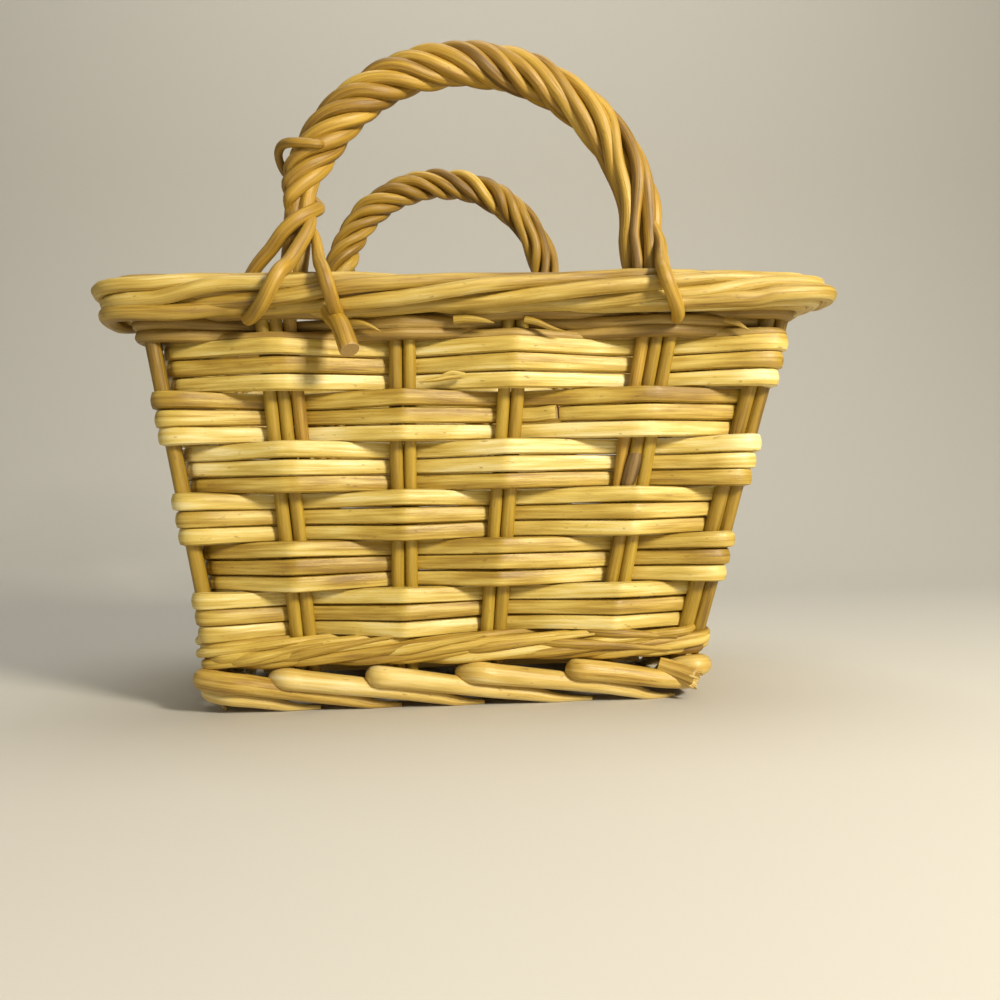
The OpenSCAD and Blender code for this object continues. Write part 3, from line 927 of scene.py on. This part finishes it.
class BASKET_OT_border(bpy.types.Operator):
    """Rolled border: sixteen rods that come up under the rim, cross its face and turn in over the top"""

    bl_idname = "basket.border"
    bl_label = "Border"

    def execute(self, context):
        sizes = context.scene.basket_sizes
        wall = Wall(sizes)
        rods = Rods(200)
        rng = rods.rng
        butt = sizes.border_rod * 500
        wide = wall.border_half_w - butt + 0.3
        high = wall.border_half_h - butt + 0.4
        # The handle feet, each with the room it needs; the rope starts above the front left one
        feet = [(wall.leg(i, wall.border_z), 5.5 if i == 1 else 8.6) for i in LEG_SIDE]
        # Even steps round the oval that the rods lie on
        oval = []
        for n in range(361):
            a = math.tau * n / 360
            oval.append((wide * math.cos(a), high * math.sin(a)))
        run = [0.0]
        for (x0, y0), (x1, y1) in zip(oval, oval[1:]):
            run.append(run[-1] + math.hypot(x1 - x0, y1 - y0))
        # Stake gaps that a rod runs on over, and its number of steps
        span = 7.0
        number = 150
        for i in range(COUNT):
            start = i + rng.uniform(-0.07, 0.07)
            rise = wander(rng, 1.3, 90)
            lift = wander(rng, 0.55, 70)
            thick = butt * rng.uniform(0.84, 0.98)
            depth = rng.uniform(0.9, 1.05)
            path = []
            for n in range(number + 1):
                t = n / number
                k = start - 1.0 + span * t
                # The rods start under the rim's inner edge, which is 130 degrees before its outer face
                reach = run[-1] * (230 / 360 + t) + rise(t * 400)
                reach %= run[-1]
                m = next(q for q in range(360) if run[q + 1] >= reach)
                across, up = oval[m]
                squeeze = 1 - 0.5 * ease(1 - t / 0.08) - 0.35 * ease((t - 0.9) / 0.1)
                out = wall.border_out + across * squeeze * depth
                z = wall.border_z + up * squeeze * depth + lift(t * 400)
                # A rod that passes a handle foot is pushed to its outside or its inside
                bare = wall.at(k, wall.border_z)[0]
                for foot, keep in feet:
                    near = ease((24 - (bare - foot).length) / 12)
                    if near > 0 and up > -1.5:
                        want = max(out, keep + 3.2) if out > 0.5 else min(out, -keep - 3.0)
                        out = mix(out, want, near)
                p = wall.at(k, z, out, kink=BORDER_KINK)[0]
                path.append((*p, mix(thick, thick * 0.74, t)))
            rods.add(path, cut=(True, True))
        # Rods that fill the border's inside; their darkest tone is painted shade in the gaps between
        # strands
        for out in (0.8, 10.0):
            ring = []
            for n in range(201):
                p = wall.at(COUNT * n / 200, wall.border_z, out, kink=BORDER_KINK)[0]
                ring.append((*p, 3.7))
            rods.add(ring, tone=1.0)
        # One strand stands off the front right corner in a loose bend, one hangs low round the front left:
        # running stake number, height, distance out and radius
        for tone, strand in (
            (0.5, (
                (3.4, 165.0, 8.0, 1.0), (4.0, 165.5, 14.0, 3.0), (4.6, 166.0, 17.0, 3.3),
                (5.05, 169.0, 18.0, 3.3), (5.6, 173.0, 15.0, 3.2), (6.4, 174.0, 8.0, 1.6),
            )),
            # The low strand round the front left takes a dark tone: painted shade under the border's corner
            (0.9, (
                (14.4, 172.0, 6.0, 1.6), (15.2, 167.0, 13.0, 3.0), (15.8, 163.4, 15.6, 3.3),
                (16.2, 162.8, 14.4, 3.3), (16.7, 164.5, 11.0, 3.0), (17.4, 168.0, 7.0, 1.6),
            )),
        ):
            heights, outs, thicks = ([(step[0], step[n]) for step in strand] for n in (1, 2, 3))
            path = []
            for n in range(49):
                k = mix(strand[0][0], strand[-1][0], n / 48)
                p = wall.at(k, along_table(heights, k), along_table(outs, k), kink=STRAND_KINK)[0]
                path.append((*p, along_table(thicks, k)))
            rods.add(curve_through(path, 2.0), tone=tone)
        build("rolled_border", rods, border_willow(), ["border"], 18)
        return {"FINISHED"}


class BASKET_OT_handles(bpy.types.Operator):
    """Two handles: a thick bow with rods roped round it"""

    bl_idname = "basket.handles"
    bl_label = "Handles"

    def core(self, handle, thick, seed):
        """A bow that goes down through the border beside a stake pair on each side."""
        wall = handle.wall
        rods = Rods(seed)
        left = []
        right = []
        for n in range(8):
            z = mix(wall.leg_z0, wall.border_z - 9, n / 7)
            r = mix(1.6, 2.7, min(1, n / 2))
            left.append((*wall.leg(handle.left, z), r))
            right.append((*wall.leg(handle.right, z), r))
        path = list(left)
        for n in range(41):
            p = handle.at(handle.length * n / 40)[0]
            path.append((*p, mix(thick, thick * 0.8, n / 40)))
        path += reversed(right)
        rods.add(curve_through(path, 3.5), tone=0.55)
        return rods

    def execute(self, context):
        front = front_handle(context)
        rear = rear_handle(context)
        bow = self.core(front, 4.3, 300)
        # A second rod lies along the front bow's left foot
        second = [(*front.beside(s, 205, 4.6), 3.1) for s in (0, 12, 24, 36, 48, 58)]
        bow.add(curve_through(second, 2.0), tone=0.2)
        build("front_core", bow, rope_willow(), ["front_bow"])
        build("rear_core", self.core(rear, 4.2, 301), rope_willow(), ["rear_bow"])
        # The front rope is wound steeply at the left and runs almost straight at the right: degrees of
        # slope and then radius of a rod, each at a length along the handle
        slopes = ((0, 38), (50, 34), (110, 31), (150, 29), (185, 22), (222, 11), (270, 4))
        thick = ((40, 2.9), (120, 2.85), (160, 2.72), (200, 2.65), (270, 2.6))
        rope = Rope(front, front.rope_r - ROPE_ROD, slopes, 30, 345)
        rods = Rods(310)
        # Start of each rod and length of its tip; the rods share the round evenly as more come in
        for n, (start, tip) in enumerate((
            (33, 7), (38, 7), (43, 8), (48, 8), (54, 9), (60, 10), (118, 24), (188, 24),
        )):
            shares = ((118, n * 60.0), (152, n * 51.4), (188, n * 51.4), (222, n * 45.0))
            rope.lay(rods, start, shares, thick, tip)
        build("front_rope", rods, rope_willow(), ["front_wrap"])
        slopes = ((0, 28), (40, 34), (125, 33), (165, 26), (200, 15), (265, 6))
        thick = ((0, 2.85), (150, 2.8), (220, 2.55))
        rope = Rope(rear, rear.rope_r - 2.6, slopes, 3, 20)
        rods = Rods(320)
        # Five rods run from the foot, and a sixth comes in past the crown
        for n in range(5):
            rope.lay(rods, 3, ((150, n * 72), (190, n * 60)), thick, 0)
        rope.lay(rods, 156, ((150, 324), (190, 300)), thick, 22)
        build("rear_rope", rods, rope_willow(), ["rear_wrap"])
        return {"FINISHED"}


class BASKET_OT_ties(bpy.types.Operator):
    """Ends of the rope rods, led over the border and tucked under it"""

    bl_idname = "basket.ties"
    bl_label = "Ties"

    def over(self, wall, i, along, angle, gap):
        """Point on the border's outside at an angle from its outer face, beside a handle foot."""
        a = math.radians(angle)
        out = wall.border_out + (wall.border_half_w + gap) * math.cos(a)
        z = wall.border_z + (wall.border_half_h + gap) * math.sin(a)
        return wall.leg(i, z, 0, out) + Vector((along, 0, 0))

    def lay(self, name, node, seed, tone, ends):
        """Builds one tie from rods given as points with a cut far end or a tucked one."""
        rods = Rods(seed)
        for points, cut in ends:
            rods.add(curve_through(points, 1.5), tone=tone, cut=(False, cut))
        build(name, rods, rope_willow(), [node], 16)

    def execute(self, context):
        front = front_handle(context)
        rear = rear_handle(context)
        wall = front.wall
        self.lay("front_left_tie_over", "tie_front_left_over", 401, 0.25, [([
            (*front.beside(37, 205, 6.0), 1.6),
            (*front.beside(32, 216, 9.0), 2.1),
            (*front.beside(26, 232, 11.4), 2.6),
            (*front.beside(18.5, 250, 12.6), 2.9),
            (*self.over(wall, 1, 3.4, 62, 3.4), 3.0),
            (*self.over(wall, 1, 0.4, 30, 3.3), 3.0),
            (*self.over(wall, 1, -3.0, 0, 3.2), 2.95),
            (*self.over(wall, 1, -7.2, -30, 3.1), 2.9),
            (*self.over(wall, 1, -11.6, -54, 2.9), 2.85),
            (*self.over(wall, 1, -15.2, -72, 2.4), 2.7),
        ], True)])
        self.lay("front_left_tie_end", "tie_front_left_end", 402, 0.15, [([
            (*front.beside(30, 190, 6.0), 1.5),
            (*front.beside(24, 208, 10.4), 2.0),
            (*front.beside(17, 218, 14.6), 2.5),
            (*self.over(wall, 1, 15.4, 62, 3.3), 2.7),
            (*self.over(wall, 1, 17.0, 30, 3.2), 2.75),
            (*self.over(wall, 1, 18.3, 0, 3.1), 2.8),
            (*self.over(wall, 1, 19.4, -30, 3.0), 2.8),
            (*self.over(wall, 1, 20.2, -56, 2.6), 2.7),
            (*self.over(wall, 1, 20.6, -74, 1.2), 2.5),
        ], True), ([
            (*self.over(wall, 1, 16.0, -62, -3.0), 3.4),
            (*self.over(wall, 1, 18.0, -62, 2.6), 3.7),
            (*(self.over(wall, 1, 21.5, -50, 7.0) - Vector((0, 0, 2.5))), 3.9),
            (*(self.over(wall, 1, 25.2, -42, 13.0) - Vector((0, 0, 10.5))), 4.0),
        ], True)])
        self.lay("front_left_tie_back", "tie_front_left_back", 403, 0.75, [([
            (*front.beside(47, 60, 5.6), 2.0),
            (*front.beside(44, 110, 7.4), 2.4),
            (*front.beside(39.5, 160, 8.6), 2.7),
            (*front.beside(35.5, 205, 9.0), 2.8),
            (*front.beside(30, 250, 9.3), 2.9),
            (*front.beside(24.4, 286, 9.2), 2.9),
            (*front.beside(17.5, 318, 9.6), 2.8),
            (*front.beside(11.5, 338, 12.6), 2.7),
            (*front.beside(6.0, 346, 15.2), 2.5),
            (*front.beside(1.5, 348, 16.6), 2.3),
        ], False)])
        self.lay("front_right_tie", "tie_front_right", 404, 0.35, [([
            (*front.beside(front.length - 33, 303, 4.6), 1.5),
            (*front.beside(front.length - 26, 303, 7.6), 2.0),
            (*front.beside(front.length - 19, 300, 10.2), 2.4),
            (*self.over(wall, 4, -0.6, 62, 3.3), 2.7),
            (*self.over(wall, 4, -0.4, 30, 3.2), 2.75),
            (*self.over(wall, 4, 2.2, 0, 3.1), 2.75),
            (*self.over(wall, 4, 6.4, -30, 3.0), 2.75),
            (*self.over(wall, 4, 9.6, -56, 2.9), 2.7),
            (*self.over(wall, 4, 10.8, -78, 2.4), 2.6),
        ], True)])
        for name, node, i, way, tail in (
            ("rear_left_tie", "tie_rear_left", 12, -1, False),
            ("rear_right_tie", "tie_rear_right", 9, 1, True),
        ):
            steps = []
            for rise, angle, r, thick in ((30, 66, 4.8, 1.5), (22, 60, 8.2, 2.0), (14, 48, 10.8, 2.4)):
                s = rear.foot_run + rise
                steps.append((*rear.beside(rear.length - s if tail else s, angle, r), thick))
            for along, angle, gap, thick in (
                (8.5, 60, 3.5, 2.6), (11.5, 28, 3.4, 2.7), (14.0, 0, 3.3, 2.7),
                (15.5, -28, 3.1, 2.6), (16.0, -58, 2.4, 2.5),
            ):
                steps.append((*self.over(wall, i, way * along, angle, gap), thick))
            self.lay(name, node, 405 + i, None, [(steps, True)])
        return {"FINISHED"}


class BASKET_OT_loose_ends(bpy.types.Operator):
    """Splinters, a loose loop on the rope, a patch of bark and a frayed butt"""

    bl_idname = "basket.loose_ends"
    bl_label = "Loose ends"

    def execute(self, context):
        wall = Wall(context.scene.basket_sizes)
        front = front_handle(context)
        loop = Rods(500)
        loop.add(curve_through([
            (*front.beside(64, 235, 5.4), 1.5), (*front.beside(61, 262, 9.4), 1.9),
            (*front.beside(58, 305, 10.6), 2.0), (*front.beside(56.5, 336, 11.8), 1.9),
            (*front.beside(55, 354, 12.6), 1.8), (*front.beside(53, 4, 12.2), 1.7),
            (*front.beside(50, 20, 10.0), 1.7), (*front.beside(47, 40, 6.0), 1.5),
        ], 1.3), tone=0.9)
        build("loose_loop", loop, rope_willow(), (), 12)
        rods = Rods(510)
        # Where each starts on the wall, and its points as way along, up, out and radius
        for k, z, out, points in (
            # Splinters under the rim
            (1.62, 160.0, 6.5, (
                (0, 0, 0, 1.5), (4, -0.6, 1.2, 1.3), (8, -2.0, 2.0, 0.9), (12, -4.2, 2.4, 0.2))),
            (2.45, 160.5, 7.5, (
                (0, 0, 0, 1.9), (5, 0.2, 0.8, 1.7), (11, -0.6, 1.6, 1.1), (16, -1.8, 2.2, 0.2))),
            (3.05, 160.5, 7.5, (
                (0, 0, 0, 1.6), (5, -1.6, 1.2, 1.3), (11, -4.2, 1.6, 0.9), (16, -5.2, 1.2, 0.2))),
            (4.5, 160.0, 6.5, ((0, 0, 0, 1.4), (5, -1.8, 1.0, 1.1), (10, -4.8, 1.4, 0.2))),
            # Torn fibres on the first row
            (2.52, 138.5, 7.2, (
                (0, 0, 0, 1.2), (-5, -0.6, 1.2, 1.1), (-11, -1.8, 2.2, 0.8), (-17, -2.6, 3.0, 0.2))),
            (2.56, 139.0, 7.4, ((0, 0, 0, 0.9), (-6, 0.6, 1.6, 0.8), (-13, -2.6, 1.8, 0.2))),
            # A stray end at the right corner
            (5.25, 94.5, 6.5, ((0, 0, 0, 2.8), (5, 0.5, 2.4, 2.9), (10, 1.6, 4.2, 3.0))),
        ):
            middle, normal = wall.at(k, z, 0)
            way = Vector((-normal.y, normal.x, 0))
            path = []
            for run, up, away, r in points:
                p = middle + way * run + normal * (out + away) + Vector((0, 0, up))
                path.append((*p, r))
            rods.add(curve_through(path, 1.4), cut=(False, path[-1][3] > 1))
        build("loose_splinters", rods, siding_willow(), (), 10)
        bark = Rods(520)
        patch = []
        for z, r in ((92.0, 2.2), (94.5, 3.1), (98.0, 3.3), (101.5, 3.3), (105.0, 3.0), (108.0, 2.0)):
            patch.append((*wall.place(4, z, mix(-3.9, -2.7, (z - 93.4) / 12.6), 0.55), r))
        bark.add(curve_through(patch, 1.2))
        build("bark_patch", bark, bark_willow(), (), 14)
        # The frayed butt of a foot rod at the front right corner: a thick end and its torn fibres
        butt = Rods(530)
        start = wall.place(4, 15.5, 24, 4.0)
        end = wall.place(5, 10.5, -4.5, 11.5)
        thickening = [(*start.lerp(end, t), mix(3.4, 4.9, t)) for t in (0, 0.4, 0.8, 1.0)]
        butt.add(curve_through(thickening, 2), cut=(False, True))
        way = (end - start).normalized()
        side = way.cross(Vector((0, 0, 1))).normalized()
        above = side.cross(way)
        for _ in range(26):
            a = butt.rng.uniform(0, math.tau)
            r = butt.rng.uniform(1.0, 4.3)
            root = end - way * 2 + side * (r * math.cos(a)) + above * (r * math.sin(a))
            spread = side * (math.cos(a) * 1.2) + above * (math.sin(a) * 1.2)
            tip = root + way * butt.rng.uniform(2.6, 5.2) + spread
            butt.add([(*root, 0.75), (*root.lerp(tip, 0.5), 0.7), (*tip, 0.3)])
        build("frayed_butt", butt, foot_willow(), (), 10)
        return {"FINISHED"}


class BASKET_OT_stage(bpy.types.Operator):
    """Pale floor that sweeps up behind the basket, soft lamps and the camera"""

    bl_idname = "basket.stage"
    bl_label = "Stage"

    def execute(self, context):
        settings = context.scene.basket_stage
        # The board lies flat to a little behind the basket and sweeps up in a quarter round
        bend_y = 0.45
        bend_r = 0.6
        profile = [(-2.5, 0.0), (bend_y, 0.0)]
        for n in range(1, 13):
            a = math.radians(90 * n / 12)
            profile.append((bend_y + bend_r * math.sin(a), bend_r - bend_r * math.cos(a)))
        profile.append((bend_y + bend_r, 3.0))
        points = []
        for x in (-3.0, 3.0):
            points += [(x, y, z) for y, z in profile]
        n = len(profile)
        faces = [(i, n + i, n + i + 1, i + 1) for i in range(n - 1)]
        mesh = bpy.data.meshes.new("floor")
        mesh.from_pydata(points, [], faces)
        mesh.shade_smooth()
        floor = bpy.data.objects.new("floor", mesh)
        context.scene.collection.objects.link(floor)
        # Matt painted board: an even pale surface that only takes the shadow
        paint = bpy.data.materials.new("matt_pale_board")
        paint.use_nodes = True
        shader = paint.node_tree.nodes["Principled BSDF"]
        shader.inputs["Base Color"].default_value = settings.floor_colour
        shader.inputs["Roughness"].default_value = 0.8
        shader.inputs["Specular IOR Level"].default_value = 0.2
        mesh.materials.append(paint)
        for name, place, aim, size, power, colour in (
            ("key_lamp", (0.58, -0.84, 0.55), (0.0, 0.0, 0.10), 0.2, 15.0, "#fff6e6"),
            ("fill_lamp", (-1.3, -1.0, 0.5), (0.0, 0.0, 0.12), 1.0, 1.8, "#ffffff"),
            ("board_lamp", (0.1, 0.15, 1.7), (0.05, 0.75, 0.2), 1.2, 13.0, "#ffffff"),
        ):
            light = bpy.data.lights.new(name, "AREA")
            light.size = size
            light.energy = power
            light.color = linear(colour)[:3]
            lamp = bpy.data.objects.new(name, light)
            lamp.location = place
            lamp.rotation_euler = (Vector(aim) - Vector(place)).to_track_quat("-Z", "Y").to_euler()
            context.scene.collection.objects.link(lamp)
        world = bpy.data.worlds.new("studio")
        world.use_nodes = True
        background = world.node_tree.nodes["Background"]
        background.inputs["Color"].default_value = linear("#f6f5f2")
        background.inputs["Strength"].default_value = 0.2
        context.scene.world = world
        yaw, pitch, roll = settings.camera_turn
        level = math.cos(pitch)
        forward = Vector((math.sin(yaw) * level, math.cos(yaw) * level, -math.sin(pitch)))
        right = Vector((math.cos(yaw), -math.sin(yaw), 0))
        up = right.cross(forward)
        across = right * math.cos(roll) + up * math.sin(roll)
        above = up * math.cos(roll) - right * math.sin(roll)
        lens = bpy.data.cameras.new("camera")
        lens.lens = 36
        lens.sensor_width = 36
        lens.clip_start = 0.01
        camera = bpy.data.objects.new("camera", lens)
        turn = Matrix((across, above, -forward)).transposed().to_4x4()
        camera.matrix_world = Matrix.Translation(settings.camera_place) @ turn
        context.scene.collection.objects.link(camera)
        context.scene.camera = camera
        context.scene.view_settings.view_transform = "Standard"
        return {"FINISHED"}


class BASKET_PT_sidebar(bpy.types.Panel):
    """Buttons and sizes of the basket"""

    bl_idname = "BASKET_PT_sidebar"
    bl_label = "Willow basket"
    bl_space_type = "VIEW_3D"
    bl_region_type = "UI"
    bl_category = "Basket"

    def draw(self, context):
        for group in (context.scene.basket_sizes, context.scene.basket_handles, context.scene.basket_stage):
            for key in group.__annotations__:
                self.layout.prop(group, key)
        for operator in OPERATORS:
            self.layout.operator(operator.bl_idname)


GROUPS = {"basket_sizes": BasketSizes, "basket_handles": HandleSizes, "basket_stage": StageSettings}
OPERATORS = (
    BASKET_OT_base, BASKET_OT_foot, BASKET_OT_stakes, BASKET_OT_siding, BASKET_OT_wales, BASKET_OT_border,
    BASKET_OT_handles, BASKET_OT_ties, BASKET_OT_loose_ends, BASKET_OT_stage,
)


def register():
    for cls in (*GROUPS.values(), *OPERATORS, BASKET_PT_sidebar):
        bpy.utils.register_class(cls)
    for key, cls in GROUPS.items():
        setattr(bpy.types.Scene, key, PointerProperty(type=cls))


def unregister():
    for key in GROUPS:
        delattr(bpy.types.Scene, key)
    for cls in (BASKET_PT_sidebar, *reversed(OPERATORS), *reversed(GROUPS.values())):
        bpy.utils.unregister_class(cls)


def main():
    register()
    bpy.ops.basket.base()
    bpy.ops.basket.foot()
    bpy.ops.basket.stakes()
    bpy.ops.basket.siding()
    bpy.ops.basket.wales()
    bpy.ops.basket.border()
    bpy.ops.basket.handles()
    bpy.ops.basket.ties()
    bpy.ops.basket.loose_ends()
    bpy.ops.basket.stage()


if __name__ == "__main__":
    main()
